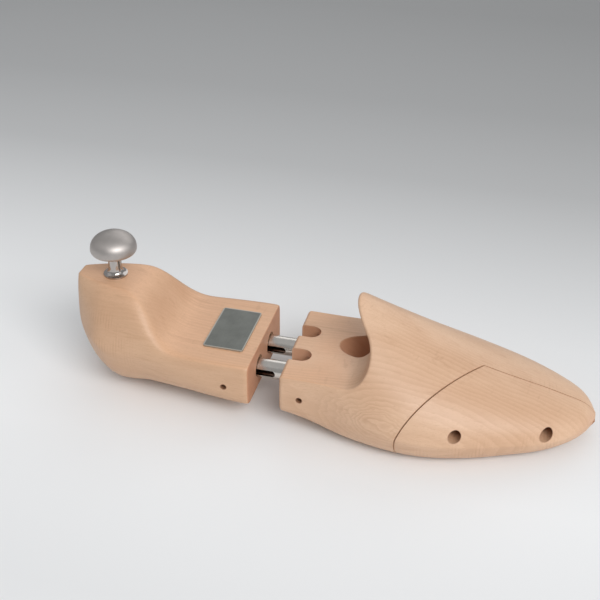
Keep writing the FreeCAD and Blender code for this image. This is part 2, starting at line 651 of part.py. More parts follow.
def swing_room(side, sign):
    """Room for a tube in the toe block: entry bore, open notch above it, pocket round the pin."""
    wide = "sizes.tube_diameter / 2 + sizes.swing_slack"
    axis_y = TUBE_Y % sign
    edge_y = "%s - (%s)" % (axis_y, wide)
    reach = "((sizes.tube_nose ^ 2 + (sizes.tube_diameter / 2) ^ 2) ^ 0.5 + sizes.swing_slack)"
    entry = cylinder("entry_" + side, wide, "sizes.toe_pin_ahead + " + OVERRUN,
                     (TOE_FACE + " - " + OVERRUN, axis_y, "sizes.tube_height"), "x")
    notch = box("notch_" + side, "%s + sizes.notch_length - (%s)" % (OVERRUN, wide),
                "2 * (%s)" % wide, FAR, (TOE_FACE + " - " + OVERRUN, edge_y, "sizes.tube_height"))
    notch_end = cylinder("notch_end_" + side, wide, FAR,
                         ("%s + sizes.notch_length - (%s)" % (TOE_FACE, wide), axis_y,
                          "sizes.tube_height"), "z")
    pocket = cylinder("swing_pocket_" + side, reach, "2 * (%s)" % wide,
                      (TOE_PIN_X, edge_y, "sizes.tube_height"), "y")
    return [entry, notch, notch_end, pocket]


def finger_bore():
    bore = doc.addObject("Part::Cylinder", "finger_bore")
    bore.setExpression("Radius", "sizes.finger_diameter / 2")
    bore.setExpression("Height", "sizes.finger_depth + sizes.finger_diameter")
    bore.Placement.Rotation = Rotation(Vector(0, 1, 0), 90.0 + size["finger_slope"])
    back = "sizes.finger_diameter * %s(sizes.finger_slope)"
    bore.setExpression("Placement.Base.x", TOE_FACE + " + sizes.finger_ahead - " + back % "cos")
    bore.setExpression("Placement.Base.y", "sizes.finger_offset")
    bore.setExpression("Placement.Base.z", "sizes.toe_shank_top + " + back % "sin")
    return bore


def toe_block():
    tools = [own_shape("split_wedge", cheek_prism(0.0))]
    for side, sign in SIDES.items():
        tools += swing_room(side, sign)
    tools.append(finger_bore())
    tools.append(cylinder("toe_pin_hole", "sizes.pin_diameter / 2", "2 * " + FAR,
                          (TOE_PIN_X, "-" + FAR, "sizes.tube_height"), "y"))
    for name, (x, seam_y, z) in GUIDES.items():
        tools.append(cylinder("guide_root_" + name, "sizes.guide_diameter / 2",
                              "sizes.guide_root + " + FAR,
                              (x, seam_y + " - " + FAR, z), "y"))
        tools.append(cylinder("spring_seat_" + name,
                              "sizes.spread_spring_diameter / 2 + sizes.spring_slack",
                              "sizes.spring_seat + " + FAR,
                              (x, seam_y + " - " + FAR, z), "y"))
    tools.append(cylinder("screw_way", "sizes.screw_diameter / 2 + sizes.screw_slack", "2 * " + FAR,
                          (SCREW_X, "-" + FAR, "sizes.screw_height"), "y"))
    tools.append(cylinder("screw_access", "sizes.screw_hole / 2", FAR,
                          (SCREW_X, "sizes.screw_shoulder", "sizes.screw_height"), "y"))
    wood = own_shape("toe_form", toe_wood())
    piece(cut("toe_block_cut", wood, tools), "toe_block")


def toe_cheek():
    tools = []
    for name, (x, seam_y, z) in GUIDES.items():
        tools.append(cylinder("guide_bore_" + name, "sizes.guide_diameter / 2 + sizes.guide_slack",
                              "2 * " + FAR, (x, "%s - %s" % (seam_y, FAR), z), "y"))
        tools.append(cylinder("cheek_seat_" + name,
                              "sizes.spread_spring_diameter / 2 + sizes.spring_slack",
                              "sizes.spread_spring_length - sizes.spring_seat + " + FAR,
                              (x, "%s + sizes.spring_seat - sizes.spread_spring_length" % seam_y, z),
                              "y"))
    tools.append(cylinder("insert_hole", "sizes.insert_diameter / 2", FAR,
                          (SCREW_X, INSERT_Y, "sizes.screw_height"), "y"))
    tools.append(cylinder("screw_tip_way", "sizes.screw_diameter / 2 + sizes.screw_slack",
                          "sizes.screw_length",
                          (SCREW_X, SCREW_TIP_Y + " - 1", "sizes.screw_height"), "y"))
    wood = doc.addObject("Part::Common", "cheek_form")
    wood.Base = own_shape("cheek_blank", toe_blank())
    wood.Tool = own_shape("cheek_wedge", cheek_prism(size["seam"]))
    piece(cut("toe_cheek_cut", wood, tools), "toe_cheek")


def spreader():
    """The guide pins, their springs, the screw and the threaded insert it turns in."""
    for name, (x, seam_y, z) in GUIDES.items():
        rod = cylinder("guide_rod_" + name, "sizes.guide_diameter / 2", "sizes.guide_length",
                       (x, "%s + sizes.guide_root - sizes.guide_length" % seam_y, z), "y")
        piece(rod, "guide_pin_" + name)
        sleeve("spread_spring_" + name, "sizes.spread_spring_diameter", "sizes.spread_spring_wire",
               "sizes.spread_spring_length",
               (x, "%s + sizes.spring_seat - sizes.spread_spring_length" % seam_y, z), "y")
    body = cylinder("insert_body", "sizes.insert_diameter / 2", "sizes.insert_length",
                    (SCREW_X, INSERT_Y, "sizes.screw_height"), "y")
    thread = cylinder("insert_thread", "sizes.screw_diameter / 2 + sizes.thread_slack",
                      "sizes.insert_length", (SCREW_X, INSERT_Y, "sizes.screw_height"), "y")
    piece(cut("insert_cut", body, [thread]), "cheek_insert")
    shaft = cylinder("screw_shaft", "sizes.screw_diameter / 2", "sizes.screw_length",
                     (SCREW_X, SCREW_TIP_Y, "sizes.screw_height"), "y")
    head = cylinder("screw_head_body", "sizes.screw_head / 2", "sizes.screw_head_height",
                    (SCREW_X, "sizes.screw_shoulder", "sizes.screw_height"), "y")
    solid = doc.addObject("Part::MultiFuse", "screw_solid")
    solid.Shapes = [shaft, head]
    slot = box("driver_slot", "2 * sizes.screw_head", "sizes.driver_slot", "sizes.driver_slot",
               (SCREW_X + " - sizes.screw_head",
                "sizes.screw_shoulder + sizes.screw_head_height - sizes.driver_slot",
                "sizes.screw_height - sizes.driver_slot / 2"))
    piece(cut("spread_screw_cut", solid, [slot]), "spread_screw")


heel_block()
heel_knob()
name_plate()
cross_pin("heel_cross_pin", HEEL_PIN_X)
pockets = []
for side, sign in SIDES.items():
    sleeve("heel_spring_" + side, "(sizes.tube_diameter - sizes.spring_shy)", "sizes.spring_wire",
           "sizes.bore_depth - sizes.tube_tail",
           (HEEL_FACE + " - sizes.bore_depth", TUBE_Y % sign, "sizes.tube_height"), "x")
    pockets.append(tube(side, sign))
toe_block()
cross_pin("toe_cross_pin", TOE_PIN_X)
toe_cheek()
spreader()
doc.recompute()

for thing in doc.Objects:
    for state in thing.State:
        if state in ("Invalid", "Error"):
            raise RuntimeError("%s is %s" % (thing.Label, state))
for pad, pocket in pockets:
    if pocket.Shape.Volume > pad.Shape.Volume - 10.0:
        raise RuntimeError(pocket.Label + " cut nothing")
os.makedirs("parts", exist_ok=True)
for thing in pieces:
    shape = thing.Shape
    if shape.isNull() or not shape.isValid() or len(shape.Solids) != 1:
        raise RuntimeError("%s is not one valid solid" % thing.Label)
    shape.exportStep("parts/%s.step" % thing.Label)
    print("%-22s %10.1f mm3" % (thing.Label, shape.Volume))
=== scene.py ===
import math

import bpy
import numpy as np
from mathutils import Matrix, Vector


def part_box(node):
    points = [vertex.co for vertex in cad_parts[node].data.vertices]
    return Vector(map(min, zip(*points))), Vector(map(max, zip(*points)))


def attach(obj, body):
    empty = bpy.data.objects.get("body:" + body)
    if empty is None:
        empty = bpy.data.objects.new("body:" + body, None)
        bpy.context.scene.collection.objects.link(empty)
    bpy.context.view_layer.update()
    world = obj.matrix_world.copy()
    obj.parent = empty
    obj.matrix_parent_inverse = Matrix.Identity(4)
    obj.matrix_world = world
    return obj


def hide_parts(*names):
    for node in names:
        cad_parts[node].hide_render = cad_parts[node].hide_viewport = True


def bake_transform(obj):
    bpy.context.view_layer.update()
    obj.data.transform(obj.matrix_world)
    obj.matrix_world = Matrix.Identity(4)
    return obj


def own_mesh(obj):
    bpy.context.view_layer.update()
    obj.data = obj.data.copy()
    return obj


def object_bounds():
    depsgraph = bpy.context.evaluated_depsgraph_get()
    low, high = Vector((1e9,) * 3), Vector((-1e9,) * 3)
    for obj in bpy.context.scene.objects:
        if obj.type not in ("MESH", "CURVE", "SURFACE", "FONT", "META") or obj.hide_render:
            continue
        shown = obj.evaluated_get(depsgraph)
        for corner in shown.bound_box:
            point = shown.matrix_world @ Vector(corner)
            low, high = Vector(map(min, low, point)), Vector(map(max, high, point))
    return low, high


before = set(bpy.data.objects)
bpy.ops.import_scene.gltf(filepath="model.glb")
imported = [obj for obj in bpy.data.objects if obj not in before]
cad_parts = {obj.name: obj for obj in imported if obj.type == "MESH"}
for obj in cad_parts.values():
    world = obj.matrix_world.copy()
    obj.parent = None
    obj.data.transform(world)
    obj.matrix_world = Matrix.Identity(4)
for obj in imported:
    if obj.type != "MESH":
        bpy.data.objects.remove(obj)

cad_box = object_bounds()

# ---- camera ----
# A portrait lens half a metre away, before the toe's outer side, looks down on the tree. It is
# swung from the Y axis towards the heel, and its lean to one side is a fraction of a degree.

# lens and sensor in millimetres, places in metres
LENS = 60.33
SENSOR = 36.0
SHIFT = 0.0206, -0.0557
NEAREST, FARTHEST = 0.01, 20.0
VIEW_FROM = 0.0901, -0.4346, 0.3480
SWUNG = math.radians(14.64)
DOWN = math.radians(30.74)
LEAN = math.radians(0.35)


def put(name, data):
    """An object with the given data, linked into the scene."""
    made = bpy.data.objects.new(name, data)
    bpy.context.scene.collection.objects.link(made)
    return made


camera_data = bpy.data.cameras.new("camera")
camera_data.lens = LENS
camera_data.sensor_width = SENSOR
camera_data.shift_x, camera_data.shift_y = SHIFT
camera_data.clip_start, camera_data.clip_end = NEAREST, FARTHEST
camera = put("camera", camera_data)
swing = Matrix.Rotation(SWUNG, 4, "Z")
tilt = Matrix.Rotation(math.pi / 2 - DOWN, 4, "X")
lean = Matrix.Rotation(LEAN, 4, "Z")
camera.matrix_world = Matrix.Translation(VIEW_FROM) @ swing @ tilt @ lean
bpy.context.scene.camera = camera

# ---- beech blocks: heel, forepart and cheek ----
# Carved and sanded beech with a clear oil finish. The grain runs from heel to toe, so the growth
# rings show as long fine lines on top and as loose ovals where a side runs along them. The copying
# lathe left faint lines across the grain at the heel's crook and low on the cheek.


def shader(tree, kind, inputs=None, **settings):
    """Adds a shader node; an input is another node's socket or a plain value."""
    made = tree.nodes.new("ShaderNode" + kind)
    for name, value in settings.items():
        setattr(made, name, value)
    for key, value in (inputs or {}).items():
        if isinstance(value, bpy.types.NodeSocket):
            tree.links.new(value, made.inputs[key])
        else:
            made.inputs[key].default_value = value
    return made


def new_material(name, **surface):
    """A material with one Principled surface, whose fixed values are set on its own sockets."""
    made = bpy.data.materials.new(name)
    made.use_nodes = True
    tree = made.node_tree
    tree.nodes.clear()
    bsdf = shader(tree, "BsdfPrincipled")
    for key, value in surface.items():
        bsdf.inputs[key.replace("_", " ")].default_value = value
    shader(tree, "OutputMaterial", {"Surface": bsdf.outputs[0]})
    return made, tree, bsdf


def give_surface(tree, bsdf, colour, rough, height, relief):
    """Links a surface's colour and roughness, and its heights as a relief of some strength and depth."""
    strength, depth = relief
    tree.links.new(colour, bsdf.inputs["Base Color"])
    tree.links.new(rough, bsdf.inputs["Roughness"])
    bump = shader(tree, "Bump", {"Height": height, "Strength": strength, "Distance": depth})
    tree.links.new(bump.outputs[0], bsdf.inputs["Normal"])


def maths(tree, operation, *values):
    """The socket of one Math node."""
    inputs = dict(enumerate(values))
    return shader(tree, "Math", inputs, operation=operation).outputs[0]


def product(tree, *values):
    """All the values multiplied together."""
    result = values[0]
    for value in values[1:]:
        result = maths(tree, "MULTIPLY", result, value)
    return result


def total(tree, *values):
    """All the values added up."""
    result = values[0]
    for value in values[1:]:
        result = maths(tree, "ADD", result, value)
    return result


def distance(tree, *parts):
    """How far off a point is: the root of the sum of its squared distances along each axis."""
    return maths(tree, "SQRT", total(tree, *(product(tree, part, part) for part in parts)))


def mix_colour(tree, share, first, second):
    """The first colour where share is 0, and the second where it is 1."""
    share_in, first_in, second_in, colour_out = 0, 6, 7, 2
    made = shader(tree, "Mix", {share_in: share, first_in: first, second_in: second}, data_type="RGBA")
    return made.outputs[colour_out]


def rise(tree, factor, low, high):
    """0 at low, 1 at high, and a smooth way between them; low may be the larger."""
    made = shader(tree, "MapRange", {"Value": factor, "From Min": low, "From Max": high},
                  interpolation_type="SMOOTHSTEP")
    return made.outputs[0]


def place_on(tree, scale=(1, 1, 1), shift=(0, 0, 0), turn=(0, 0, 0)):
    """Object coordinates, stretched, turned and moved: the pattern's own place on the object."""
    coords = shader(tree, "TexCoord").outputs["Object"]
    mapping = shader(tree, "Mapping", {"Vector": coords, "Location": shift, "Rotation": turn,
                                       "Scale": scale})
    return mapping.outputs[0]


def apart(tree, vector):
    """The X, Y and Z of a place."""
    return shader(tree, "SeparateXYZ", {"Vector": vector}).outputs


def together(tree, **parts):
    """A place made of the given X, Y and Z."""
    return shader(tree, "CombineXYZ", parts).outputs[0]


def noise(tree, vector, detail=2.0, roughness=0.5, distortion=0.0):
    """Soft cloudy noise about 0.5, one cell to each unit of the vector."""
    made = shader(tree, "TexNoise", {"Vector": vector, "Scale": 1.0, "Detail": detail,
                                     "Roughness": roughness, "Distortion": distortion})
    return made.outputs["Fac"]


# a board's pale and its warm tone, and the tones laid over them
TOE_BOARD = (0.740, 0.502, 0.340, 1), (0.625, 0.388, 0.243, 1)
HEEL_BOARD = (0.665, 0.425, 0.268, 1), (0.560, 0.326, 0.190, 1)
# painted shade and warm bounced light for the flats before the vamp, not a tone of the wood
BEECH_FLAT_SHADE = (0.725, 0.430, 0.258, 1)
BEECH_RING = (0.430, 0.225, 0.120, 1)
BEECH_FLECK = (0.300, 0.145, 0.075, 1)
# end grain's own darker, redder tone; it also serves as painted shade on the walls of the drilled holes
BEECH_END_AND_HOLE_SHADE = (0.560, 0.255, 0.140, 1)
# the end face: real end grain, made darker and redder still by painted shade
BEECH_END_FACE_AND_SHADE = (0.470, 0.170, 0.085, 1)
# painted shade: the near-black on the walls of the crosswise pin and dowel holes
BEECH_PIN_HOLE_SHADE = (0.210, 0.085, 0.040, 1)
# a year's growth, and how far slow drift, a fine ripple, uneven years and a swelling bend it
RING_WIDTH = 0.0023
RING_DRIFT = 0.0100
RING_RIPPLE = 0.0011
RING_UNEVEN = 0.0028
RING_SWELL = 0.0130
# cells to the metre of the years' unevenness, and of the ray sheets lengthwise, outwards and across
UNEVEN_YEARS = 190.0
RAY_SHEETS = 360.0, 70.0, 2400.0
# the strength and depth of the relief that fibres, pores and flecks leave
BEECH_RELIEF = 0.10, 0.00025
# the step between two of the cutter's lines, and how far they fade in from either X limit, from
# the lower Z limit and from the upper one
CUTTER_PITCH = 0.0017
MARK_FADES = 0.012, 0.006, 0.010
# over what depth the painted shade on a drilled wall and on a crosswise hole's wall sets in, and at what
# distances from the end face its dark and its painted shade are gone and full
HOLE_SHADE_SKIN = 0.0006
PIN_HOLE_SHADE_SKIN = 0.0001
SAWN_SKIN = 0.0005, 0.0002
# how far a hole's wall lies outside its pin or dowel, and how strongly painted shade darkens it
PIN_SLACK = 0.0003
PIN_HOLE_SHADE, DOWEL_HOLE_SHADE = 0.80, 0.35
# the X where the flats end at the vamp, and the length before it over which the painted shade on them
# sets in
toe_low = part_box("toe_block")[0]
VAMP_FOOT = toe_low.x + 0.04316
FLAT_SHADE_FADE = 0.026


def cross_hole(name, hole_shade):
    """The X, Z and wall radius of the hole that a crosswise pin or dowel sits in, and how strongly
    its wall is painted dark as shade."""
    low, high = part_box(name)
    middle = (low + high) / 2
    return middle.x, middle.z, (high.z - low.z) / 2 + PIN_SLACK, hole_shade


def cutter_lines(tree, along, shift, marks):
    """Fine lines across the grain, in patches, inside regions that fade at their limits."""
    side_fade, low_fade, high_fade = MARK_FADES
    regions = [product(tree, rise(tree, along["X"], x_low, x_low + side_fade),
                       rise(tree, along["X"], x_high, x_high - side_fade),
                       rise(tree, along["Z"], z_low, z_low + low_fade),
                       rise(tree, along["Z"], z_high, z_high - high_fade))
               for x_low, x_high, z_low, z_high in marks]
    sway = noise(tree, place_on(tree, (60, 25, 45), shift))
    phase = total(tree, product(tree, along["X"], 2 * math.pi / CUTTER_PITCH),
                  product(tree, sway, 7.0))
    wave = rise(tree, maths(tree, "SINE", phase), 0.1, 1.0)
    here = rise(tree, noise(tree, place_on(tree, (120, 60, 60), shift), 1.0), 0.42, 0.60)
    return product(tree, total(tree, *regions), wave, here)


def beech(name, board, heart, seed, marks=(), swell=None, hole_shade_box=None, sawn_at=None, holes=()):
    """Oiled beech. board gives its pale and its warm tone. heart places the tree's heart line,
    far to one side of the block, and gives its lean. Each of marks is a region, as two X and two
    Z limits, where the cutter's lines show. swell is the middle and the reach of a place where
    the rings bulge into nested ovals. bored is a box of X, Y and Z limits round the drilled
    holes, whose walls are painted darker as shade, and sawn_at is the X of the end face left by
    the saw, which is dull and dark for its end grain and painted darker still as shade. Each of
    holes is a crosswise hole, whose wall is painted very dark as shade."""
    made, tree, bsdf = new_material(name, Specular_IOR_Level=0.55, Coat_Weight=0.12,
                                    Coat_Roughness=0.32)
    shift = (seed, 0.3 * seed, -seed)

    def figure(lengthwise, crosswise, *kind):
        """Noise with so many cells to the metre along the grain, and so many across it."""
        return noise(tree, place_on(tree, (lengthwise, crosswise, crosswise), shift), *kind)

    # growth rings: the distance from the heart line, bent by slow drift, in uneven steps
    across = apart(tree, place_on(tree, (1, 1, 1), *heart))
    radius = distance(tree, across["Y"], across["Z"])
    uneven = noise(tree, together(tree, X=product(tree, radius, UNEVEN_YEARS)), 1.0)
    bent = total(tree, radius, product(tree, figure(11, 34), RING_DRIFT),
                 product(tree, figure(60, 240), RING_RIPPLE), product(tree, uneven, RING_UNEVEN))
    slow = figure(8, 26, 3.0, 0.55)
    clear = rise(tree, slow, 0.34, 0.66)
    if swell:
        middle, reach = swell
        way = apart(tree, place_on(tree, tuple(1 / r for r in reach),
                                   tuple(-m / r for m, r in zip(middle, reach))))
        waver = noise(tree, place_on(tree, (70, 70, 150), shift))
        away = total(tree, distance(tree, way["X"], way["Y"], way["Z"]),
                     product(tree, waver, 0.8), -0.40)
        near = rise(tree, away, 1.0, 0.0)
        bent = total(tree, bent, product(tree, near, RING_SWELL))
        clear = total(tree, clear, product(tree, near, 1.1))
    step = maths(tree, "FRACT", product(tree, bent, 1 / RING_WIDTH))
    ring = product(tree, rise(tree, step, 0.15, 0.86), rise(tree, step, 1.0, 0.90), clear)
    # fibres along the grain, coarse and fine, and open pores like pin scratches
    broad = figure(24, 380, 2.0, 0.55, 0.3)
    fibre = figure(75, 1500, 3.0, 0.6, 0.15)
    pore = product(tree, rise(tree, figure(420, 5200, 1.0, 0.4), 0.60, 0.70),
                   rise(tree, ring, 0.6, 0.1))
    # ray flecks: thin sheets that run out from the heart, seen edge on as short dark dashes
    lengthwise, outwards, crosswise = RAY_SHEETS
    sheets = together(tree, X=product(tree, across["X"], lengthwise),
                      Y=product(tree, radius, outwards), Z=product(tree, across["Z"], crosswise))
    fleck = product(tree, rise(tree, noise(tree, sheets, 1.0, 0.4), 0.62, 0.72),
                    rise(tree, figure(40, 90), 0.40, 0.68))
    # a few darker streaks, a hand long
    stain = rise(tree, figure(13, 210, 2.0, 0.6, 0.4), 0.60, 0.74)
    # end grain is thirsty: it drinks the oil and turns darker and redder
    along = apart(tree, place_on(tree))
    facing = apart(tree, shader(tree, "Attribute", attribute_name="facing").outputs["Vector"])
    ends = rise(tree, maths(tree, "ABSOLUTE", facing["X"]), 0.62, 0.97)
    # painted shade: the upward flats before the vamp are painted darker and warmer, for the vamp's shade
    # and warm light bounced off the wood
    painted_flat_shade = product(tree, rise(tree, facing["Z"], 0.50, 0.95),
                      rise(tree, along["X"], VAMP_FOOT, VAMP_FOOT - FLAT_SHADE_FADE))
    # where each tone shows, how strongly, and the tone
    layers = [(rise(tree, slow, 0.30, 0.72), 1.0, board[1]),
              (painted_flat_shade, 1.0, BEECH_FLAT_SHADE),
              (ring, 0.26, BEECH_RING),
              (rise(tree, broad, 0.35, 0.75), 0.25, board[1]),
              (rise(tree, fibre, 0.48, 0.80), 0.22, BEECH_RING),
              (pore, 0.30, BEECH_RING),
              (fleck, 0.14, BEECH_FLECK),
              (stain, 0.22, BEECH_RING),
              (ends, 0.20, BEECH_END_AND_HOLE_SHADE)]
    rough = total(tree, 0.40, product(tree, fibre, 0.12), product(tree, ends, 0.12))
    height = total(tree, product(tree, fibre, -0.5), product(tree, fleck, -0.3),
                   product(tree, pore, -0.8))
    if marks:
        cut = cutter_lines(tree, along, shift, marks)
        layers.append((cut, 0.30, BEECH_RING))
        height = total(tree, height, product(tree, cut, -0.7))
    # painted shade: the walls inside the box round the drilled holes are painted darker
    if hole_shade_box:
        sides = [rise(tree, along[axis], limit, limit + inward)
                 for axis, (least, most) in zip("XYZ", hole_shade_box)
                 for limit, inward in ((least, HOLE_SHADE_SKIN), (most, -HOLE_SHADE_SKIN))]
        layers.append((product(tree, *sides), 0.60, BEECH_END_AND_HOLE_SHADE))
    # the end face: dull and dark for its end grain, and painted darker and redder as shade
    if sawn_at is not None:
        off_end = maths(tree, "ABSOLUTE", maths(tree, "SUBTRACT", along["X"], sawn_at))
        end_face_and_shade = rise(tree, off_end, *SAWN_SKIN)
        layers.append((end_face_and_shade, 0.45, BEECH_END_FACE_AND_SHADE))
        rough = total(tree, rough, product(tree, end_face_and_shade, 0.25))
    # painted shade: each crosswise hole's wall is painted very dark
    for x, z, wall, hole_shade in holes:
        way = distance(tree, maths(tree, "SUBTRACT", along["X"], x),
                       maths(tree, "SUBTRACT", along["Z"], z))
        layers.append((rise(tree, way, wall + PIN_HOLE_SHADE_SKIN, wall), hole_shade, BEECH_PIN_HOLE_SHADE))
    colour = board[0]
    for mask, share, shade in layers:
        colour = mix_colour(tree, product(tree, mask, share), colour, shade)
    give_surface(tree, bsdf, colour, rough, height, BEECH_RELIEF)
    return made


def read(items, key, width, kind):
    """One row of numbers for each vertex, edge or corner, as an array."""
    rows = np.empty(len(items) * width, kind)
    items.foreach_get(key, rows)
    return rows.reshape(-1, width)


# edges that turn by more than this stay sharp; points alike to this many decimals of a metre are one
CRISP = math.radians(38)
ALIKE = 7


def smooth_copy(name, ends=None):
    """A copy of a CAD node with its loose triangles merged and its soft curves shaded smooth.
    Edges beyond the two X limits in ends, where a rounded end is closed by a sliver of a flat,
    are shaded smooth too."""
    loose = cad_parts[name].data
    points = read(loose.vertices, "co", 3, np.float32)
    corners = read(loose.loops, "vertex_index", 1, np.int64)
    _, first, same = np.unique(np.round(points, ALIKE), axis=0, return_index=True,
                               return_inverse=True)
    points = points[first]
    triangles = same.reshape(-1)[corners].reshape(-1, 3)
    whole = (triangles != np.roll(triangles, 1, axis=1)).all(1)
    merged = bpy.data.meshes.new(name + "_finish")
    merged.from_pydata(points.tolist(), [], triangles[whole].tolist())
    merged.update()
    merged.shade_smooth()
    merged.set_sharp_from_angle(angle=CRISP)
    if ends is not None and "sharp_edge" in merged.attributes:
        reach = points[:, 0][read(merged.edges, "vertices", 2, np.int64)]
        beyond = ((reach < ends[0]) | (reach > ends[1])).all(1)
        marked = merged.attributes["sharp_edge"].data
        sharp = read(marked, "value", 1, bool)[:, 0] & ~beyond
        marked.foreach_set("value", sharp)
    # which way the surface faces, for the painted shade on the flats and for finishes that differ
    # between sides and ends
    facing = read(merged.vertex_normals, "vector", 3, np.float32)
    merged.attributes.new("facing", "FLOAT_VECTOR", "POINT").data.foreach_set("vector", facing.ravel())
    piece = put(name + "_finish", merged)
    # wide flats keep their own direction right up to a rounded edge
    flats = piece.modifiers.new("flats", "WEIGHTED_NORMAL")
    flats.keep_sharp = True
    return piece


def dress(name, body, material, ends=None):
    """Puts the smooth copy of a CAD node in its place, with its finish."""
    piece = smooth_copy(name, ends)
    piece.data.materials.append(material)
    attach(piece, body)
    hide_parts(name)


# the heart lines of the two boards: place and lean
HEEL_HEART = (0.02, 0.120, 0.020), (0.03, 0.030, 0.060)
TOE_HEART = (0.00, -0.150, -0.012), (-0.04, 0.020, -0.090)
HEEL_SEED, TOE_SEED = 3.1, 7.7
# X and Z limits of the heel's crook and of the cheek's lower side, from each node's low corner
heel_low, heel_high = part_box("heel_block")
cheek_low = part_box("toe_cheek")[0]
HEEL_CROOK = heel_low.x + 0.00835, heel_low.x + 0.04435, 0.014, 0.054
CHEEK_FOOT = cheek_low.x + 0.00581, cheek_low.x + 0.08381, 0.000, 0.020
# the ovals lie on the shank's outer side, and the box of painted hole shade runs round the toe's cross
# pin
SHANK_OVALS = (toe_low.x + 0.05316, toe_low.y + 0.01132, 0.022), (0.034, 0.030, 0.014)
pin_low, pin_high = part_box("toe_cross_pin")
pin = (pin_low + pin_high) / 2
TOE_HOLE_SHADE_BOX = ((toe_low.x + 0.0003, pin.x + 0.05305), (pin.y - 0.0262, pin.y + 0.0262),
             (pin.z - 0.0102, pin.z + 0.0121))
# the blocks' rounded ends close within this distance of the whole tree's ends
END_SLIVER = 0.002
round_ends = (cad_box[0].x + END_SLIVER, cad_box[1].x - END_SLIVER)

heel_beech = beech("heel_beech", HEEL_BOARD, HEEL_HEART, HEEL_SEED, [HEEL_CROOK],
                   sawn_at=heel_high.x, holes=[cross_hole("heel_cross_pin", PIN_HOLE_SHADE)])
toe_beech = beech("toe_beech", TOE_BOARD, TOE_HEART, TOE_SEED, swell=SHANK_OVALS,
                  hole_shade_box=TOE_HOLE_SHADE_BOX, sawn_at=toe_low.x,
                  holes=[cross_hole("toe_cross_pin", PIN_HOLE_SHADE)])
cheek_beech = beech("cheek_beech", TOE_BOARD, TOE_HEART, TOE_SEED, [CHEEK_FOOT],
                    holes=[cross_hole("guide_pin_rear", DOWEL_HOLE_SHADE),
                           cross_hole("guide_pin_front", DOWEL_HOLE_SHADE)])
dress("heel_block", "heel", heel_beech, round_ends)
dress("toe_block", "forepart", toe_beech, round_ends)
dress("toe_cheek", "cheek", cheek_beech, round_ends)

# ---- knob and stud ----
# The pull knob is turned from brass, brushed on the lathe and plated with satin nickel, so its
# fine scratches run round its axis. A steel stud holds it down on the heel block.

NICKEL_PALE = (0.560, 0.520, 0.495, 1)
NICKEL_DULL = (0.450, 0.415, 0.392, 1)
STEEL = (0.52, 0.51, 0.50)
# rings to the metre, fine and broad, and the shares of the knob's height where the brushing begins
FINE_RINGS, BROAD_RINGS = 5200.0, 900.0
NECK_TOP, DOME_FOOT = 0.42, 0.50
# over what depth the painted shade in a bore sets in, and the strength and depth of the scratches
BORE_SHADE_FADE = 0.0002
NICKEL_RELIEF = 0.12, 0.00005
METAL_RELIEF = 0.06, 0.00004


def satin_nickel(name, node):
    """Nickel with fine lathe rings round the upright axis through the node's middle."""
    made, tree, bsdf = new_material(name, Metallic=1.0, Anisotropic=0.25)
    low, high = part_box(node)
    middle, tall = (low + high) / 2, high.z - low.z
    parts = apart(tree, place_on(tree, (1, 1, 1), (-middle.x, -middle.y, 0)))
    radius = distance(tree, parts["X"], parts["Y"])

    def rings(count, *kind):
        """Noise that is the same all round the axis, with so many rings to the metre."""
        place = together(tree, X=product(tree, radius, count), Y=product(tree, parts["Z"], count))
        return noise(tree, place, *kind)

    turned = rings(FINE_RINGS, 2.0, 0.6)
    broad = rings(BROAD_RINGS)
    cloud = noise(tree, place_on(tree, (160, 160, 160)), 3.0, 0.55)
    colour = mix_colour(tree, cloud, NICKEL_PALE, NICKEL_DULL)
    # only the dome is brushed; the neck and the foot are left bright
    brushed = rise(tree, parts["Z"], low.z + NECK_TOP * tall, low.z + DOME_FOOT * tall)
    satin = total(tree, 0.27, product(tree, turned, 0.12), product(tree, broad, 0.06))
    rough = total(tree, 0.14, product(tree, satin, brushed))
    give_surface(tree, bsdf, colour, rough, turned, NICKEL_RELIEF)
    return made


def plain_metal(name, colour, roughness, grain=(120, 3000, 3000), shaded_bores=()):
    """Drawn metal, with faint scratches and a little cloudiness. grain is the scratches' count to
    the metre along X, Y and Z, and is low along the way they run. Inside each of bores, given as
    Y, Z, radius and tone, it is painted dark as shade."""
    made, tree, bsdf = new_material(name, Metallic=1.0)
    streak = noise(tree, place_on(tree, grain), 2.0, 0.6)
    cloud = noise(tree, place_on(tree, (220, 220, 220)), 3.0, 0.5)
    darker = tuple(0.78 * part for part in colour) + (1,)
    shade = mix_colour(tree, cloud, colour + (1,), darker)
    along = apart(tree, place_on(tree))
    # painted shade: inside each bore the metal is painted dark
    for y, z, radius, bore_shade in shaded_bores:
        way = distance(tree, maths(tree, "SUBTRACT", along["Y"], y),
                       maths(tree, "SUBTRACT", along["Z"], z))
        shade = mix_colour(tree, rise(tree, way, radius, radius - BORE_SHADE_FADE), shade, bore_shade)
    rough = total(tree, roughness - 0.05, product(tree, streak, 0.12))
    give_surface(tree, bsdf, shade, rough, streak, METAL_RELIEF)
    return made


steel = plain_metal("plain_steel", STEEL, roughness=0.34)
dress("heel_knob", "heel", satin_nickel("knob_nickel", "heel_knob"))
dress("knob_stud", "heel", steel)

# ---- tubes and their cross pins ----
# Drawn steel tubes with a bright nickel coat, slotted on the mill. Each cross pin is a cut length
# of dark steel rod, driven in until it lies below the wood.

TUBES = "tube_lateral", "tube_medial"
TUBE_NICKEL = (0.74, 0.70, 0.65)
# painted shade inside the tubes' bores, dark and warm from the wood around
TUBE_BORE_SHADE = (0.085, 0.050, 0.035, 1)
TUBE_RIM = 0.0002
BLUED = (0.115, 0.085, 0.070)

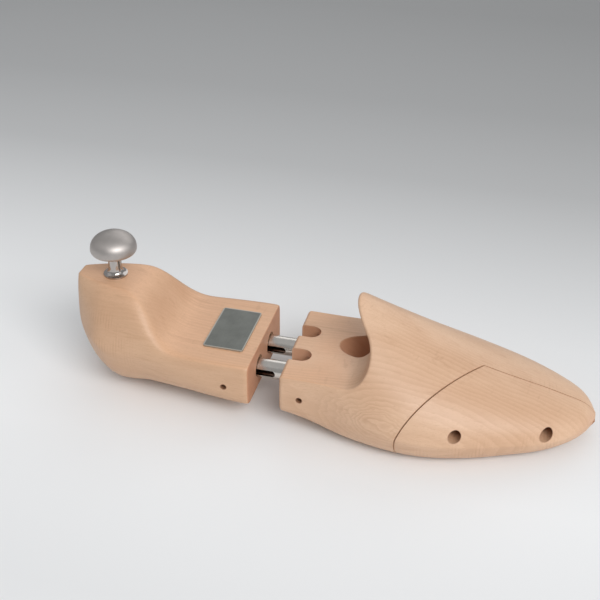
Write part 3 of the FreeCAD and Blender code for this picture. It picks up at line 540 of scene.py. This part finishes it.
tube_bore_shades = []
for name in TUBES:
    low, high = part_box(name)
    middle, half = (low + high) / 2, (high - low) / 2
    tube_bore_shades.append((middle.y, middle.z, half.y - TUBE_RIM, TUBE_BORE_SHADE))
tube_nickel = plain_metal("tube_nickel", TUBE_NICKEL, roughness=0.22, shaded_bores=tube_bore_shades)
blued = plain_metal("blued_steel", BLUED, roughness=0.45)
for name in TUBES:
    dress(name, "link", tube_nickel)
dress("heel_cross_pin", "heel", blued)
dress("toe_cross_pin", "forepart", blued)

# ---- plate ----
# A stamped plate of grey metal, glued on the heel block's flat. Its face is plain: brushed across,
# a little stained, and with a painted highlight, paler and brighter, along its edges and corners.

PEWTER_PALE = (0.205, 0.212, 0.194, 1)
PEWTER_DULL = (0.130, 0.135, 0.124, 1)
PEWTER_BRUSHED = (0.30, 0.31, 0.29, 1)
# a painted highlight for the plate's edges, and below, how far in from the rim it reaches
PEWTER_EDGE_HIGHLIGHT = (0.52, 0.50, 0.45, 1)
PEWTER_RELIEF = 0.10, 0.00005
EDGE_HIGHLIGHT_REACH = 0.0006


def pewter(name, node):
    """Grey metal brushed along Y, with a painted highlight at the rim of the node's flat box."""
    made, tree, bsdf = new_material(name, Metallic=0.80)
    low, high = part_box(node)
    middle, half = (low + high) / 2, (high - low) / 2
    parts = apart(tree, place_on(tree, (1, 1, 1), -middle))
    inward = maths(tree, "MINIMUM",
                   maths(tree, "SUBTRACT", half.x, maths(tree, "ABSOLUTE", parts["X"])),
                   maths(tree, "SUBTRACT", half.y, maths(tree, "ABSOLUTE", parts["Y"])))
    brushed = noise(tree, place_on(tree, (3200, 140, 3200)), 3.0, 0.6)
    cloud = noise(tree, place_on(tree, (130, 130, 130)), 4.0, 0.6)
    # painted highlight: the rim is paler and brighter, for the light caught by its edges
    ragged = total(tree, inward, product(tree, cloud, -EDGE_HIGHLIGHT_REACH))
    edge_highlight = product(tree, rise(tree, ragged, EDGE_HIGHLIGHT_REACH, -EDGE_HIGHLIGHT_REACH / 6), 0.75)
    colour = mix_colour(tree, cloud, PEWTER_PALE, PEWTER_DULL)
    colour = mix_colour(tree, product(tree, brushed, 0.25), colour, PEWTER_BRUSHED)
    colour = mix_colour(tree, edge_highlight, colour, PEWTER_EDGE_HIGHLIGHT)
    rough = total(tree, 0.36, product(tree, cloud, 0.2), product(tree, edge_highlight, -0.1))
    give_surface(tree, bsdf, colour, rough, brushed, PEWTER_RELIEF)
    return made


dress("name_plate", "heel", pewter("plate_pewter", "name_plate"))

# ---- springs ----
# Wound steel wire with closed ends. The long ones sit behind the tubes in the heel block and press
# it away from the forepart; the short ones, round the dowels, press the cheek outwards.

X_AXIS, Y_AXIS = 0, 1
HEEL_WIRE, HEEL_TURNS = 0.0012, 12
SPREAD_WIRE, SPREAD_TURNS = 0.0010, 7
STEPS_ROUND, WIRE_SIDES = 32, 10
WIRE_CRISP = math.radians(40)
SPRING_STEEL = (0.40, 0.40, 0.41)

spring_steel = plain_metal("spring_steel", SPRING_STEEL, roughness=0.36, grain=(900, 900, 900))


def coil(name, axis, wire, turns):
    """A wound spring in the place of a CAD node. The wire's middle goes round the node's axis on a
    circle. It climbs by one wire's thickness in the first turn and in the last, and evenly
    between them. A small circle across the wire, half its thickness in radius, is carried along
    that path, and a flat face closes each end."""
    low, high = (np.array(corner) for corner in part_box(name))
    first, second = (k for k in range(3) if k != axis)
    radius = (high - low)[first] / 2 - wire / 2
    length = (high - low)[axis] - wire
    steps = np.arange(turns * STEPS_ROUND + 1) / STEPS_ROUND
    angle = 2 * math.pi * steps
    out = np.zeros((len(steps), 3))
    out[:, first], out[:, second] = np.cos(angle), np.sin(angle)
    path = (low + high) / 2 + radius * out
    path[:, axis] = low[axis] + wire / 2 + np.interp(steps, [0, 1, turns - 1, turns],
                                                     [0, wire, length - wire, length])
    along = np.gradient(path, axis=0)
    along /= np.linalg.norm(along, axis=1)[:, None]
    side = np.cross(along, out)
    turn = 2 * math.pi * np.arange(WIRE_SIDES) / WIRE_SIDES
    ring = np.cos(turn)[None, :, None] * out[:, None] + np.sin(turn)[None, :, None] * side[:, None]
    points = (path[:, None] + wire / 2 * ring).reshape(-1, 3)
    rows, columns = np.arange(len(steps) - 1) * WIRE_SIDES, np.arange(WIRE_SIDES)
    here, place = (grid.ravel() for grid in np.meshgrid(rows, columns, indexing="ij"))
    beside, ahead = (place + 1) % WIRE_SIDES, here + WIRE_SIDES
    faces = np.stack([here + place, here + beside, ahead + beside, ahead + place], 1).tolist()
    last = (len(steps) - 1) * WIRE_SIDES
    faces += [list(range(WIRE_SIDES))[::-1], list(range(last, last + WIRE_SIDES))]
    mesh = bpy.data.meshes.new(name + "_coil")
    mesh.from_pydata(points.tolist(), [], faces)
    mesh.update()
    mesh.shade_smooth()
    mesh.set_sharp_from_angle(angle=WIRE_CRISP)
    mesh.materials.append(spring_steel)
    piece = put(name + "_coil", mesh)
    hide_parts(name)
    return piece


for name in ("heel_spring_lateral", "heel_spring_medial"):
    spring = coil(name, X_AXIS, HEEL_WIRE, HEEL_TURNS)
    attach(spring, "heel")
    low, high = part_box(name)
    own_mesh(spring)
for name in ("spread_spring_rear", "spread_spring_front"):
    spring = coil(name, Y_AXIS, SPREAD_WIRE, SPREAD_TURNS)
    low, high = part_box(name)
    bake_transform(spring)

# ---- dowels, screw and insert ----
# The cheek runs on two beech dowels. A slotted steel screw, reached from the inner side of the
# forepart, turns in a brass insert in the cheek and sets how far the cheek stands out.

DOWEL_HEART = (0.0, 0.12, 0.05), (0.0, 0.0, math.pi / 2)
DOWEL_SEED = 1.3
BRASS = (0.62, 0.45, 0.20)

dowel_beech = beech("dowel_beech", HEEL_BOARD, DOWEL_HEART, DOWEL_SEED)
insert_brass = plain_metal("insert_brass", BRASS, roughness=0.30, grain=(3000, 120, 3000))
dress("guide_pin_rear", "forepart", dowel_beech)
dress("guide_pin_front", "forepart", dowel_beech)
dress("cheek_insert", "cheek", insert_brass)
dress("spread_screw", "screw", steel)

# ---- table, light and air ----
# A pale sheet of paper lies under the tree; its painted light darkens gently into the distance. A large
# soft lamp before the toe's side gives the shadow, and four weaker ones and the air fill it.

FLOOR_HALF = 4.0
# Y and greyness of the painted light on the paper: brightest just before the tree, then darker with
# distance
FLOOR_PAINTED_LIGHT = ((-0.16, 0.80), (-0.06, 0.90), (0.08, 0.81), (0.29, 0.50), (0.45, 0.40), (0.75, 0.33))
PAPER_TINT = 1.0, 1.005, 1.01
# the light falls off a little towards the toe's side
FALLOFF_HALF = 0.5
HEEL_SIDE_LIGHT, TOE_SIDE_LIGHT = 1.17, 0.83
AIR_COLOUR = (0.75, 0.77, 0.79, 1)
AIR_STRENGTH = 0.46
# the lamps face the middle of the tree
TREE = 0, 0, 0.03


def table_paper(name):
    """Matt paper with painted light: its greyness follows Y, with a slow falloff along X."""
    made, tree, bsdf = new_material(name, Roughness=0.55, Specular_IOR_Level=0.3)
    along = apart(tree, place_on(tree))
    begin, end = FLOOR_PAINTED_LIGHT[0][0], FLOOR_PAINTED_LIGHT[-1][0]
    way = shader(tree, "MapRange", {"Value": along["Y"], "From Min": begin, "From Max": end})
    # painted light: the paper's greyness along Y, brightest just before the tree
    tone = shader(tree, "ValToRGB", {"Fac": way.outputs[0]})
    stops = tone.color_ramp.elements
    for number, (reach, grey) in enumerate(FLOOR_PAINTED_LIGHT):
        place = (reach - begin) / (end - begin)
        stop = stops[number] if number < 2 else stops.new(place)
        stop.position = place
        stop.color = *(grey * tint for tint in PAPER_TINT), 1
    falloff = shader(tree, "MapRange", {"Value": along["X"], "From Min": -FALLOFF_HALF,
                                        "From Max": FALLOFF_HALF, "To Min": HEEL_SIDE_LIGHT,
                                        "To Max": TOE_SIDE_LIGHT})
    lit = shader(tree, "VectorMath", {0: tone.outputs[0], "Scale": falloff.outputs[0]},
                 operation="SCALE")
    tree.links.new(lit.outputs[0], bsdf.inputs["Base Color"])
    return made


def lamp(name, place, size, power, towards=TREE):
    """A soft rectangular lamp that faces a point."""
    data = bpy.data.lights.new(name, "AREA")
    data.shape = "RECTANGLE"
    data.size, data.size_y = size
    data.energy = power
    aim = Vector(towards) - Vector(place)
    turn = aim.to_track_quat("-Z", "Y").to_matrix().to_4x4()
    put(name, data).matrix_world = Matrix.Translation(place) @ turn


floor_mesh = bpy.data.meshes.new("floor")
floor_corners = [(x * FLOOR_HALF, y * FLOOR_HALF, 0) for x, y in ((-1, -1), (1, -1), (1, 1), (-1, 1))]
floor_mesh.from_pydata(floor_corners, [], [(0, 1, 2, 3)])
floor_mesh.materials.append(table_paper("table_paper"))
floor = put("floor", floor_mesh)

lamp("key", (0.9, -1.0, 1.2), size=(1.2, 0.9), power=21.0)
lamp("back", (0.1, 1.3, 1.0), size=(1.8, 0.9), power=4.5)
lamp("overhead", (0, -0.10, 1.8), size=(3.4, 2.8), power=4.1, towards=(0, 0, 0))
lamp("toe_side", (1.2, -0.1, 0.5), size=(0.8, 0.8), power=1.3)
lamp("heel_side", (-1.2, -0.3, 0.8), size=(1.2, 1.0), power=0.8)

air = bpy.data.worlds.new("air")
bpy.context.scene.world = air
air.use_nodes = True
background = air.node_tree.nodes["Background"].inputs
background["Color"].default_value = AIR_COLOUR
background["Strength"].default_value = AIR_STRENGTH

bpy.context.scene.view_settings.view_transform = "Standard"
